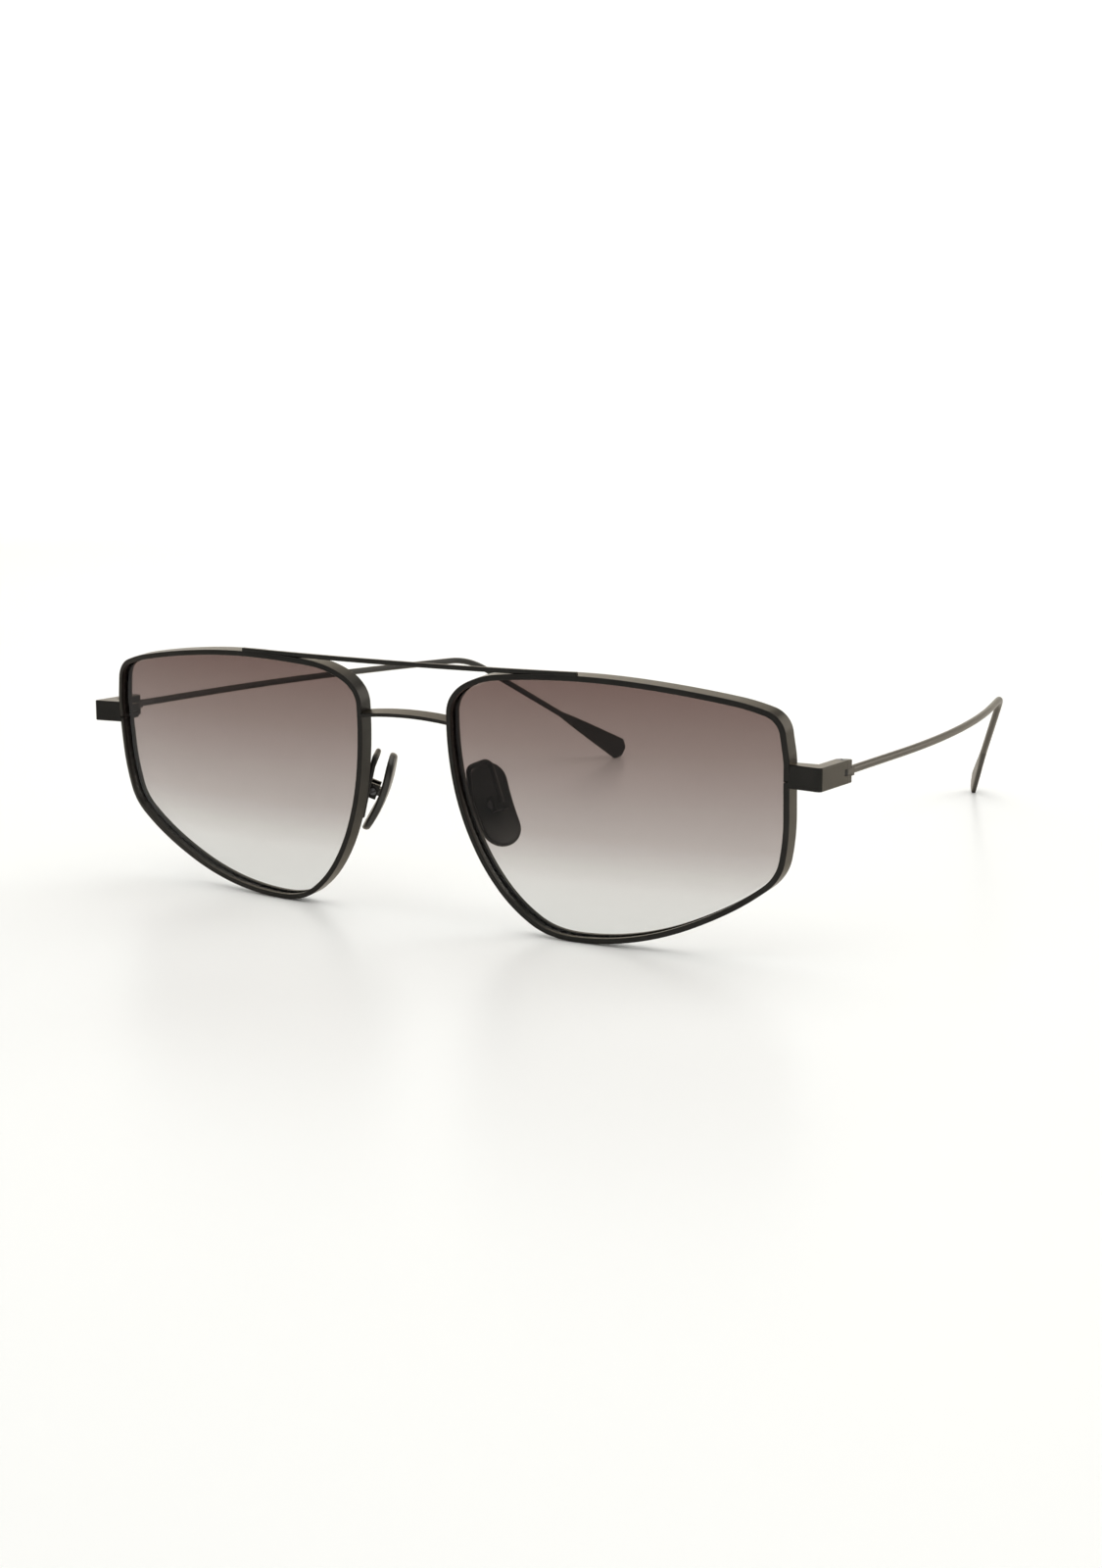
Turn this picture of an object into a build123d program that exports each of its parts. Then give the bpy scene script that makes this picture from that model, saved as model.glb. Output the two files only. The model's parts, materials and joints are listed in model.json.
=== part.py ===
from build123d import *
import os
from math import cos, radians, sin, sqrt, tan

# Aviator sunglasses, standing open on the two rims and the two temple tips.
# Millimetres. +Z up, the front looks along -Y, the wearer's left side is +X.
# The left half is drawn, and the right half is its mirror image in X = 0.

# Eyewires and lenses
EYE_WIDTH = 57.6           # one eyewire, outside
EYE_HEIGHT = 43.2          # one eyewire, outside
NOSE_GAP = 16.8            # between the two eyewires
RIM_WALL = 0.9             # width of the eyewire seen from the front
RIM_DEPTH = 2.8            # depth of the eyewire, front to back
GROOVE_DEPTH = 0.45        # how far the lens edge sits in the eyewire
GROOVE_SETBACK = 0.75      # front edge of the eyewire to the front of the lens
LENS_THICKNESS = 1.3
LENS_SIDE_GAP = 0.03       # free space each side of the lens in its groove
LENS_RADIUS = 178.0        # spherical curve of the lens fronts
FACE_WRAP = 4.8            # turn of each lens about the vertical, degrees
FRONT_LEAN = 4.2           # lean of the front, top forward, degrees
RIM_SLIT = 0.12            # cut where the eyewire opens to take the lens

# Shape of the left eyewire, seen from the front: nodes of a closed chain of
# tangent arcs, each (outwards from the nose side, height, heading in degrees),
# drawn on an eye DRAWN_WIDTH wide and DRAWN_HEIGHT high.
DRAWN_WIDTH = 57.6
DRAWN_HEIGHT = 43.2
EYE_NODES = [
    (0.0, 35.7, 88),
    (3.6, 40.7, 27),
    (16.8, 43.1, 3),
    (49.2, 40.6, -11),
    (57.1, 35.6, -83),
    (57.6, 30.6, -91),
    (56.5, 15.9, -103),
    (53.6, 11.4, -142),
    (40.6, 4.0, -157),
    (21.1, 0.0, -180),
    (13.3, 2.1, -214),
    (4.2, 13.3, -245),
]
EYE_CENTRE_OUT = 28.8      # optical centre, outwards from the nose side
EYE_CENTRE_UP = 23.6
BOWL_FRONT = 1.4           # foremost point of the lens curves, ahead of Y = 0

# Brow bar and bridge
BROW_HALF_LENGTH = 32.7
BROW_HEIGHT = 0.62
BROW_DEPTH = 0.7
BROW_SAG = 0.35            # the bar's middle is this much lower than its ends
BROW_SEAT = 0.15           # how deep the bar is let onto the rims at its ends
BRIDGE_THICKNESS = 0.6
BRIDGE_DEPTH = 2.6
BRIDGE_BELOW_TOP = 9.4     # top of the rims to the underside of the bridge ends
BRIDGE_RISE = 0.5
BRIDGE_TILT = 6.5          # the bridge's rear edge is the higher one, degrees

# End pieces and hinges
HINGE_OUT = 4.45           # hinge axis, outwards from the eyewire
HINGE_BACK = 8.6           # hinge axis, behind the front of the eyewire there
HINGE_BELOW_TOP = 14.1     # top of the rims to the middle of the hinge
TEMPLE_DROP = 2.0          # fall of the temples towards the rear, degrees
END_HEIGHT = 3.6
END_FRONT_OUT = 0.95       # outer front corner, outwards from the hinge axis
END_FRONT_AHEAD = 0.8      # outer front corner, ahead of the eyewire
END_ARM_DEPTH = 2.6        # front arm, front to back at the eyewire
END_CORNER_DEPTH = 3.6     # front arm, front to back at the corner
END_CORNER_RADIUS = 0.6
END_EDGE = 0.2             # softened upper and lower edges
KNUCKLE_RADIUS = 1.15
MIDDLE_KNUCKLE = 1.0       # height of the slot that the temple's barrel fills
KNUCKLE_GAP = 0.04         # play above, below, before and behind the barrel
HINGE_SCREW_RADIUS = 0.5
HINGE_HEAD_RADIUS = 0.75
HINGE_HEAD_HEIGHT = 0.4
SHAFT_PLAY = 0.04          # radial play of a pivot on its screw

# Closing blocks behind the end pieces
CLOSER_WIDTH = 2.3
CLOSER_DEPTH = 2.6
CLOSER_HEIGHT = 1.2        # each half
CLOSER_OVERLAP = 1.0       # length of block brazed to the side of the eyewire
CLOSER_SCREW_RADIUS = 0.5
CLOSER_HEAD_RADIUS = 0.8
CLOSER_HEAD_HEIGHT = 0.4   # let in flush with the top of the upper half

# Temples, from the hinge axis
WIRE_RADIUS = 0.63
WIRE_OUT = 0.5             # centre of the wire, outwards from the hinge axis
BARREL_TAIL = 2.2          # hinge axis to the start of the wire
BARREL_HEIGHT = 1.5        # block of the barrel behind the end piece
SWEEP_REACH = 51.4         # the wire starts to close in on the head here
SWEEP_RADIUS = 260.0
BEND_REACH = 94.9          # the wire turns down behind the ear here
BEND_IN = 9.9
BEND_RADIUS = 17.0
TIP_REACH = 129.9
TIP_IN = 28.2
TIP_FLAT = 0.15            # depth of the flat worn where the tip stands
PADDLE_LENGTH = 19.0
PADDLE_WIDTH = 5.2
PADDLE_THICKNESS = 1.1
PADDLE_CORNER = 1.4        # clipped corners at the end of the paddle
PADDLE_TWIST = -6.0        # turn of the paddle about its own length, degrees
PADDLE_SHOULDER = 7.6      # end of the paddle to where its sides turn in
PADDLE_SHOULDER_WIDTH = 4.2
PADDLE_ROOT_SHARE = 0.4    # width of the plate where it starts, in wire widths
WIRE_FADE = 7.0            # length over which the wire sinks into the plate

# Nose pads, placed on the upright front
PAD_OUT = 2.95             # centre of the pad, outwards from the nose gap
PAD_BEHIND = 5.4           # centre of the pad, behind the eyewire
PAD_BELOW_TOP = 24.3       # top of the rims to the centre of the pad
PAD_LENGTH = 14.2
PAD_WIDTH = 7.0
PAD_THICKNESS = 1.2
PAD_CURVE = 26.0           # radius of the pad's domed shape
PAD_EDGE = 0.35
PAD_FLARE = 22.6           # the pad's foot stands out from its top, degrees
PAD_SPLAY = 31.0           # the pad opens towards the face, degrees
PAD_TILT = 10.6            # the pad's foot comes forward, degrees
PAD_PIVOT = 1.35           # back of the pad to the pivot in the pad box
LUG_RADIUS = 0.65
LUG_GAP = 0.06             # play each side of the pad's lug
BOX_INSIDE = 1.5           # between the cheeks of the pad box
BOX_CHEEK = 0.5
BOX_LENGTH = 2.6
BOX_RIM = 0.55             # back of the pad to the open side of the box
BOX_FLOOR = 0.5
PAD_SCREW_RADIUS = 0.35
PAD_SCREW_HEAD = 0.6
PAD_SCREW_HEAD_HEIGHT = 0.3
ARM_RADIUS = 0.45
ARM_SEAT = 0.15            # how deep the arm is let into what it is brazed to
ARM_FOOT_BELOW_TOP = 27.4  # top of the rims to the lower end of the arm
ARM_FOOT_LENGTH = 4.6
ARM_LOOP_BELOW_TOP = 17.3  # top of the rims to the top of the arm's loop
ARM_BEND_RADIUS = 1.1

# Derived places
NOSE_EDGE = NOSE_GAP / 2
OUTER_EDGE = NOSE_EDGE + EYE_WIDTH
HINGE_X = OUTER_EDGE + HINGE_OUT
EYE_CENTRE_X = NOSE_EDGE + EYE_CENTRE_OUT
BOWL_X = EYE_CENTRE_X - LENS_RADIUS * sin(radians(FACE_WRAP))
BEYOND = 60.0              # longer than any piece of the front is deep


def heading(nodes_angle, stretch_x, stretch_y):
    """Unit vector of a heading after the drawing is stretched."""
    angle = radians(nodes_angle)
    return Vector(stretch_x * cos(angle), stretch_y * sin(angle)).normalized()


def eye_outline():
    """Closed chain of arcs: each pair of nodes is joined by two arcs that meet
    where the two tangent lengths are equal, so the whole outline is smooth."""
    wide, high = EYE_WIDTH / DRAWN_WIDTH, EYE_HEIGHT / DRAWN_HEIGHT
    edges = []
    for here, there in zip(EYE_NODES, EYE_NODES[1:] + EYE_NODES[:1]):
        start = Vector(NOSE_EDGE + here[0] * wide, here[1] * high)
        end = Vector(NOSE_EDGE + there[0] * wide, there[1] * high)
        head, tail = heading(here[2], wide, high), heading(there[2], wide, high)
        span = end - start
        along = span.dot(head + tail)
        spread = 2 * (1 - head.dot(tail))
        reach = (sqrt(along ** 2 + spread * span.dot(span)) - along) / spread
        middle = (start + end + (head - tail) * reach) * 0.5
        first = TangentArc(start, middle, tangent=head)
        edges += [first, TangentArc(middle, end, tangent=first % 1)]
    return edges


EYE_FACE = make_face(eye_outline())


def bowl_back(x, height):
    """How far back the front of the eyewire lies at a place on the front."""
    off_axis = (x - BOWL_X) ** 2 + (height - EYE_CENTRE_UP) ** 2
    return LENS_RADIUS - sqrt(LENS_RADIUS ** 2 - off_axis) - BOWL_FRONT


def eye_prism(inset):
    """The eye shape, smaller all round by inset, carried straight back."""
    face = offset(EYE_FACE, -inset, kind=Kind.ARC) if inset else EYE_FACE
    return Pos(Y=-BEYOND / 2) * extrude(Plane.XZ * face, amount=-BEYOND)


def bowl(setback):
    """Everything behind a sphere that lies setback behind the eyewire's front."""
    centre = Pos(BOWL_X, LENS_RADIUS - BOWL_FRONT, EYE_CENTRE_UP)
    return centre * Sphere(LENS_RADIUS - setback)


def slice_of_eye(inset, setback, thickness):
    """The eye shape between two of those spheres."""
    return (eye_prism(inset) & bowl(setback)) - bowl(setback + thickness)


def main_solid(shape):
    """The largest solid of a result, as one plain solid."""
    return max(shape.solids(), key=lambda solid: solid.volume)


def outline_x(height):
    """Nose side of the eyewire's outline at a height."""
    line = Edge.make_line((NOSE_EDGE - 1, height), (EYE_CENTRE_X, height))
    return (EYE_FACE & line).bounding_box().min.X


# Eyewire and lens: drawn upright, then leant forward onto the ground
rim_blank = slice_of_eye(0, 0, RIM_DEPTH) - eye_prism(RIM_WALL)
groove = slice_of_eye(
    RIM_WALL - GROOVE_DEPTH,
    GROOVE_SETBACK - LENS_SIDE_GAP,
    LENS_THICKNESS + 2 * LENS_SIDE_GAP,
)
rim_upright = main_solid(rim_blank - groove)
lens_upright = main_solid(
    slice_of_eye(RIM_WALL - GROOVE_DEPTH, GROOVE_SETBACK, LENS_THICKNESS)
)
LEAN = Rot(X=FRONT_LEAN)
FRONT = Pos(Z=-(LEAN * rim_upright).bounding_box().min.Z) * LEAN

left = {}
middle = {}


# Brow bar and bridge: strips cut to the rims that they are brazed to
def arched_strip(half_length, end_top, rise, thickness):
    """A flat strip, seen from the front, whose middle is rise above its ends."""
    top = ThreePointArc(
        (-half_length, end_top), (0, end_top + rise), (half_length, end_top)
    )
    low = ThreePointArc(
        (half_length, end_top - thickness),
        (0, end_top + rise - thickness),
        (-half_length, end_top - thickness),
    )
    return make_face([top, Line(top @ 1, low @ 0), low, Line(low @ 1, top @ 0)])


def strip_solid(face, front, depth, tilt=0.0):
    """The strip carried back from its front, rising at an angle as it goes."""
    backwards = (0, 1, tan(radians(tilt)))
    return Pos(Y=front) * extrude(Plane.XZ * face, amount=depth, dir=backwards)


both_rims = rim_upright + mirror(rim_upright, about=Plane.YZ)
brow_front = bowl_back(BROW_HALF_LENGTH - BROW_SEAT, EYE_HEIGHT)
brow_strip = arched_strip(
    BROW_HALF_LENGTH, EYE_HEIGHT + BROW_HEIGHT, -BROW_SAG, BROW_HEIGHT + BROW_SEAT
)
middle["brow_bar"] = main_solid(
    strip_solid(brow_strip, brow_front, BROW_DEPTH) - both_rims
)
bridge_level = EYE_HEIGHT - BRIDGE_BELOW_TOP
bridge_front = bowl_back(NOSE_EDGE, bridge_level)
bridge_strip = arched_strip(
    NOSE_EDGE + RIM_WALL / 2,
    bridge_level + BRIDGE_THICKNESS,
    BRIDGE_RISE,
    BRIDGE_THICKNESS,
)
middle["bridge"] = main_solid(
    strip_solid(bridge_strip, bridge_front, BRIDGE_DEPTH, BRIDGE_TILT) - both_rims
)

# Hinge place: the axis is Z there, the temple runs along +Y, outwards is +X
HINGE_UP = EYE_HEIGHT - HINGE_BELOW_TOP
rim_side_front = FRONT * Pos(OUTER_EDGE, bowl_back(OUTER_EDGE, HINGE_UP), HINGE_UP)
RIM_SIDE_Y = rim_side_front.position.Y
HINGE_Z = rim_side_front.position.Z
HINGE_Y = RIM_SIDE_Y + HINGE_BACK
HINGE = Pos(HINGE_X, HINGE_Y, HINGE_Z) * Rot(X=-TEMPLE_DROP)

left["eyewire"] = FRONT * rim_upright - Pos(OUTER_EDGE, RIM_SIDE_Y, HINGE_Z) * Box(
    4 * RIM_WALL, 4 * RIM_DEPTH, RIM_SLIT
)
left["lens"] = FRONT * lens_upright


def upright_cylinder(radius, low, high):
    return Pos(Z=(low + high) / 2) * Cylinder(radius, high - low)


def block(x, y, z):
    """A block from the three pairs of limits."""
    centre = Pos((x[0] + x[1]) / 2, (y[0] + y[1]) / 2, (z[0] + z[1]) / 2)
    return centre * Box(x[1] - x[0], y[1] - y[0], z[1] - z[0])


# End piece: an L in plan, brazed to the eyewire, slotted for the barrel
END_REAR = KNUCKLE_RADIUS + KNUCKLE_GAP
END_IN = RIM_WALL / 2 + HINGE_OUT
FRONT_Y = -HINGE_BACK
corner_front = FRONT_Y - END_FRONT_AHEAD
end_plan = Polygon(
    (-END_IN, FRONT_Y),
    (END_FRONT_OUT, corner_front),
    (KNUCKLE_RADIUS, END_REAR),
    (0, END_REAR),
    (-KNUCKLE_RADIUS, 0),
    (-KNUCKLE_RADIUS, corner_front + END_CORNER_DEPTH),
    (-END_IN, FRONT_Y + END_ARM_DEPTH),
    align=None,
)
corner = end_plan.vertices().sort_by_distance((END_FRONT_OUT, corner_front))[0]
end_plan = fillet(corner, END_CORNER_RADIUS) + Circle(KNUCKLE_RADIUS)
end_blank = extrude(Pos(Z=-END_HEIGHT / 2) * end_plan, amount=END_HEIGHT)
rounded = end_blank.edges().filter_by_position(
    Axis.Z, -END_HEIGHT / 2, -END_HEIGHT / 2
) + end_blank.edges().filter_by_position(Axis.Z, END_HEIGHT / 2, END_HEIGHT / 2)
end_blank = fillet(rounded, END_EDGE)
barrel_slot = block(
    (-3 * KNUCKLE_RADIUS, 3 * KNUCKLE_RADIUS),
    (-KNUCKLE_RADIUS - KNUCKLE_GAP, 3 * KNUCKLE_RADIUS),
    (-MIDDLE_KNUCKLE / 2, MIDDLE_KNUCKLE / 2),
)
hinge_screw = upright_cylinder(
    HINGE_SCREW_RADIUS, -END_HEIGHT / 2 + END_EDGE, END_HEIGHT / 2 - HINGE_HEAD_HEIGHT
) + upright_cylinder(
    HINGE_HEAD_RADIUS, END_HEIGHT / 2 - HINGE_HEAD_HEIGHT, END_HEIGHT / 2
)
left["end_piece"] = main_solid(
    HINGE * (end_blank - barrel_slot - hinge_screw) - FRONT * rim_upright
)
left["hinge_screw"] = HINGE * hinge_screw

# Closing blocks: one on each end of the eyewire, drawn together by a screw
closer_front = RIM_SIDE_Y + RIM_DEPTH - CLOSER_OVERLAP
closer_x = (OUTER_EDGE - RIM_WALL / 2, OUTER_EDGE + CLOSER_WIDTH)
closer_y = (closer_front, closer_front + CLOSER_DEPTH)
half_slit = RIM_SLIT / 2
closer_top = HINGE_Z + half_slit + CLOSER_HEIGHT
closer_low = HINGE_Z - half_slit - CLOSER_HEIGHT
closer_axis = Pos(OUTER_EDGE + CLOSER_WIDTH / 2, closer_y[1] - CLOSER_HEAD_RADIUS)
closer_screw = closer_axis * (
    upright_cylinder(CLOSER_SCREW_RADIUS, closer_low, closer_top)
    + upright_cylinder(CLOSER_HEAD_RADIUS, closer_top - CLOSER_HEAD_HEIGHT, closer_top)
)
for name, levels in (
    ("upper_closing_block", (HINGE_Z + half_slit, closer_top)),
    ("lower_closing_block", (closer_low, HINGE_Z - half_slit)),
):
    whole = block(closer_x, closer_y, levels)
    left[name] = main_solid(
        whole - closer_screw - left["end_piece"] - FRONT * rim_upright
    )
left["closing_screw"] = closer_screw

# Temple barrel: turns in the slot, and its block stops on the end piece
barrel_half = MIDDLE_KNUCKLE / 2 - KNUCKLE_GAP
barrel = (
    upright_cylinder(KNUCKLE_RADIUS, -barrel_half, barrel_half)
    + block((0, KNUCKLE_RADIUS), (0, BARREL_TAIL), (-barrel_half, barrel_half))
    + block(
        (WIRE_OUT - WIRE_RADIUS, KNUCKLE_RADIUS),
        (END_REAR + KNUCKLE_GAP, BARREL_TAIL),
        (-BARREL_HEIGHT / 2, BARREL_HEIGHT / 2),
    )
)
pivot_hole = upright_cylinder(
    HINGE_SCREW_RADIUS + SHAFT_PLAY, -END_HEIGHT, END_HEIGHT
)
left["temple_barrel"] = HINGE * (barrel - pivot_hole)


# Temple: a round wire that turns down behind the ear and ends in a paddle
def paddle_frame(end, along):
    """Frame of a paddle that ends at a point: Z along it, X across its thickness."""
    outwards = Vector(1, 0, 0)
    thin = (outwards - along * outwards.dot(along)).normalized()
    return Plane(Plane(end, thin, along).location * Rot(Z=PADDLE_TWIST))


bend_place = HINGE * Pos(-BEND_IN, BEND_REACH, 0)
run = Vector(BEND_IN - TIP_IN, TIP_REACH - BEND_REACH, -bend_place.position.Z).normalized()
level_paddle = paddle_frame(Vector(0, 0, 0), run)
tip_height = (
    PADDLE_WIDTH / 2 * abs(level_paddle.y_dir.Z)
    + PADDLE_THICKNESS / 2 * abs(level_paddle.x_dir.Z)
    + PADDLE_CORNER * run.Z
    - TIP_FLAT
)
tip_place = Pos(HINGE_X - TIP_IN, HINGE_Y + TIP_REACH, tip_height)
tip = (HINGE.inverse() * tip_place).position
bend = Vector(-BEND_IN, BEND_REACH, 0)
fall = (tip - bend).normalized()
paddle_start = tip - fall * PADDLE_LENGTH
wire_path = FilletPolyline(
    (WIRE_OUT, BARREL_TAIL, 0),
    (WIRE_OUT, SWEEP_REACH, 0),
    bend,
    paddle_start,
    radius=[SWEEP_RADIUS, BEND_RADIUS],
)
wire = sweep(Plane(wire_path @ 0, z_dir=wire_path % 0) * Circle(WIRE_RADIUS), wire_path)
plate_side = [
    (WIRE_RADIUS * PADDLE_ROOT_SHARE, -PADDLE_LENGTH),
    (PADDLE_SHOULDER_WIDTH / 2, -PADDLE_SHOULDER),
    (PADDLE_WIDTH / 2, -PADDLE_CORNER),
    (PADDLE_WIDTH / 2 - PADDLE_CORNER, 0),
]
plate_outline = plate_side + [(-across, along) for across, along in plate_side[::-1]]
plate = extrude(
    Plane.YZ * Polygon(plate_outline, align=None), PADDLE_THICKNESS / 2, both=True
)
wire_end = Pos(Z=WIRE_FADE / 2 - PADDLE_LENGTH) * Cone(
    WIRE_RADIUS, PADDLE_THICKNESS / 4, WIRE_FADE
)
paddle = paddle_frame(tip, fall) * (plate + wire_end)
ground = Pos(HINGE_X, HINGE_Y + TIP_REACH, -PADDLE_WIDTH) * Box(
    4 * TIP_IN, 4 * TIP_IN, 2 * PADDLE_WIDTH
)
left["temple"] = main_solid(HINGE * (wire + paddle) - ground)

# Nose pad: drawn with its length along Z and its nose side towards -X
pad_up = EYE_HEIGHT - PAD_BELOW_TOP
pad_back = bowl_back(outline_x(pad_up), pad_up) + RIM_DEPTH + PAD_BEHIND
PAD = (
    FRONT
    * Pos(NOSE_EDGE + PAD_OUT, pad_back, pad_up)
    * Rot(X=-PAD_TILT)
    * Rot(Y=-PAD_FLARE)
    * Rot(Z=-PAD_SPLAY)
)
dome_centre = Pos(X=PAD_CURVE - PAD_THICKNESS)
pad_prism = extrude(
    Plane.YZ * Rot(Z=90) * SlotOverall(PAD_LENGTH, PAD_WIDTH),
    amount=2 * PAD_THICKNESS,
    both=True,
)
pad = (pad_prism & dome_centre * Sphere(PAD_CURVE)) - dome_centre * Sphere(
    PAD_CURVE - PAD_THICKNESS
)
pad = fillet(main_solid(pad).edges(), PAD_EDGE)
pivot_place = Pos(X=PAD_PIVOT)
crosswise = Rot(X=90)
lug_half = BOX_INSIDE / 2 - LUG_GAP
lug = pivot_place * crosswise * Cylinder(LUG_RADIUS, 2 * lug_half)
lug += block(
    (-PAD_THICKNESS / 2, PAD_PIVOT), (-lug_half, lug_half), (-LUG_RADIUS, LUG_RADIUS)
)
lug_hole = pivot_place * crosswise * Cylinder(PAD_SCREW_RADIUS + SHAFT_PLAY, PAD_WIDTH)
left["nose_pad"] = PAD * pad
left["pad_lug"] = PAD * main_solid(lug - pad - lug_hole)

# Pad box: two cheeks and a floor, with a screw across them
floor_near = PAD_PIVOT + LUG_RADIUS + 2 * LUG_GAP
floor_far = floor_near + BOX_FLOOR
cheek_outer = BOX_INSIDE / 2 + BOX_CHEEK
half_box = BOX_LENGTH / 2
pad_box = block((BOX_RIM, floor_far), (-cheek_outer, cheek_outer), (-half_box, half_box))
pad_box -= block(
    (0, floor_near), (-BOX_INSIDE / 2, BOX_INSIDE / 2), (-BOX_LENGTH, BOX_LENGTH)
)
screw_shank = pivot_place * crosswise * Cylinder(PAD_SCREW_RADIUS, 2 * cheek_outer)
screw_head = (
    Pos(PAD_PIVOT, -cheek_outer - PAD_SCREW_HEAD_HEIGHT / 2)
    * crosswise
    * Cylinder(PAD_SCREW_HEAD, PAD_SCREW_HEAD_HEIGHT)
)
pad_box = main_solid(pad_box - screw_shank)
left["pad_box"] = PAD * pad_box
left["pad_screw"] = PAD * (screw_shank + screw_head)

# Pad arm: from the back of the eyewire up, over in a loop and down to the box
foot_up = EYE_HEIGHT - ARM_FOOT_BELOW_TOP
loop_up = EYE_HEIGHT - ARM_LOOP_BELOW_TOP


def behind_eyewire(height, gap):
    """Centre of the arm behind the nose side of the eyewire at a height."""
    x = outline_x(height) + RIM_WALL / 2
    return Vector(x, bowl_back(x, height) + RIM_DEPTH + ARM_RADIUS + gap, height)


on_box = floor_far + ARM_RADIUS - ARM_SEAT
rear_top = (FRONT.inverse() * PAD * Pos(on_box, 0, loop_up - pad_up)).position
rear_end = (FRONT.inverse() * PAD * Pos(on_box, 0, 0)).position
arm_path = FilletPolyline(
    behind_eyewire(foot_up, -ARM_SEAT),
    behind_eyewire(foot_up + ARM_FOOT_LENGTH, -ARM_SEAT),
    behind_eyewire(loop_up, ARM_BEND_RADIUS),
    rear_top,
    rear_end,
    radius=ARM_BEND_RADIUS,
)
arm = sweep(Plane(arm_path @ 0, z_dir=arm_path % 0) * Circle(ARM_RADIUS), arm_path)
left["pad_arm"] = main_solid(FRONT * (arm - rim_upright) - left["pad_box"])

# Every piece, with the origin on the ground under the middle of the object
nodes = {name: FRONT * piece for name, piece in middle.items()}
for name, piece in left.items():
    nodes[name + "_left"] = piece
    nodes[name + "_right"] = mirror(piece, about=Plane.YZ)
extent = Compound(children=[Compound(piece.solids()) for piece in nodes.values()])
limits = extent.bounding_box()
CENTRED = Pos(Y=-(limits.min.Y + limits.max.Y) / 2)
os.makedirs("parts", exist_ok=True)
for name, piece in nodes.items():
    export_step(CENTRED * piece, f"parts/{name}.step")

# Places that the joints and mounts are made from
for name, place, direction in (
    ("hinge_left", HINGE, (0, 0, 1)),
    ("pad_pivot_left", PAD * pivot_place, (0, 1, 0)),
):
    spot = CENTRED * place
    axis = (spot * Pos(*direction)).position - spot.position
    print(name, "at", spot.position, "axis", axis)
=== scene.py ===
import json
from collections import namedtuple
from math import cos, pi, radians, sin, tan

import bmesh
import bpy
import numpy as np
from mathutils import Matrix, Vector


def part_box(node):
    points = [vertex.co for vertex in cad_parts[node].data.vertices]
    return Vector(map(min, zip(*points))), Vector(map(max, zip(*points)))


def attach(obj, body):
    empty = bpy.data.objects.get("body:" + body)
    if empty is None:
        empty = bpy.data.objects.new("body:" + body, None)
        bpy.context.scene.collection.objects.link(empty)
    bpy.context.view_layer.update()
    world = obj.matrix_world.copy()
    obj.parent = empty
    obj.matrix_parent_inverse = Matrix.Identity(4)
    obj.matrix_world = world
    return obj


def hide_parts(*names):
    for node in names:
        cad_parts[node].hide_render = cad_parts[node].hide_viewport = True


# Aviator sunglasses, standing open on their rims and temple tips. Metres throughout.
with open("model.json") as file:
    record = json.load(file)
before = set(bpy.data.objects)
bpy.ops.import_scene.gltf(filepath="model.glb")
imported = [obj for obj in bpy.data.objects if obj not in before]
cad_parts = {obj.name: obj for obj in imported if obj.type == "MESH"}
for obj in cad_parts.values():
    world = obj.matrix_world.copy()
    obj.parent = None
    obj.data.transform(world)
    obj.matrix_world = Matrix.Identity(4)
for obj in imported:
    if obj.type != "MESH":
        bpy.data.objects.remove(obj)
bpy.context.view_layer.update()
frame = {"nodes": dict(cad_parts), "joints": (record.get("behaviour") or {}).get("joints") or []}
MM = 0.001
SIDES = (("left", 1.0), ("right", -1.0))
JOINTS = {joint["name"]: joint for joint in frame["joints"]}

# Eyewires and lenses
RIM_WALL = 0.9 * MM
RIM_DEPTH = 2.8 * MM
RIM_EDGE = 0.16 * MM          # rounding of the eyewire's long edges
GROOVE_EDGE = 0.05 * MM
GROOVE_DEPTH = 0.45 * MM
GROOVE_SETBACK = 0.72 * MM
GROOVE_WIDTH = 1.36 * MM
RIM_SLIT = 0.12 * MM
RIM_STEP = 0.35 * MM          # spacing of the sections along the eyewire
SLIT_MIDDLE = 0.22            # share of the wall, to the middle of its end faces
LENS_SETBACK = 0.75 * MM
LENS_THICKNESS = 1.3 * MM
LENS_INSET = 0.47 * MM        # outline of the eyewire to the edge of the lens
LENS_BEVEL = 0.3 * MM
LENS_RADIUS = 178 * MM
LENS_STEP = 0.7 * MM          # spacing of the lens's points along its edge
LENS_RINGS = 26
FACE_WRAP = radians(4.8)
FRONT_LEAN = radians(4.2)
BOWL_FRONT = 1.4 * MM
EYE_CENTRE_OUT = 28.8 * MM
EYE_CENTRE_UP = 23.6 * MM
EYE_TALL = 43.2 * MM
DRAWN_WIDTH = 57.6 * MM       # width that EYE_NODES are drawn at

# Nodes of the eye's outline: millimetres outwards from the nose side and up, heading
EYE_NODES = [
    (0.0, 35.7, 88),
    (3.6, 40.7, 27),
    (16.8, 43.1, 3),
    (49.2, 40.6, -11),
    (57.1, 35.6, -83),
    (57.6, 30.6, -91),
    (56.5, 15.9, -103),
    (53.6, 11.4, -142),
    (40.6, 4.0, -157),
    (21.1, 0.0, -180),
    (13.3, 2.1, -214),
    (4.2, 13.3, -245),
]
ARC_SAMPLES = 60              # points worked out along each arc of the outline

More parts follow.
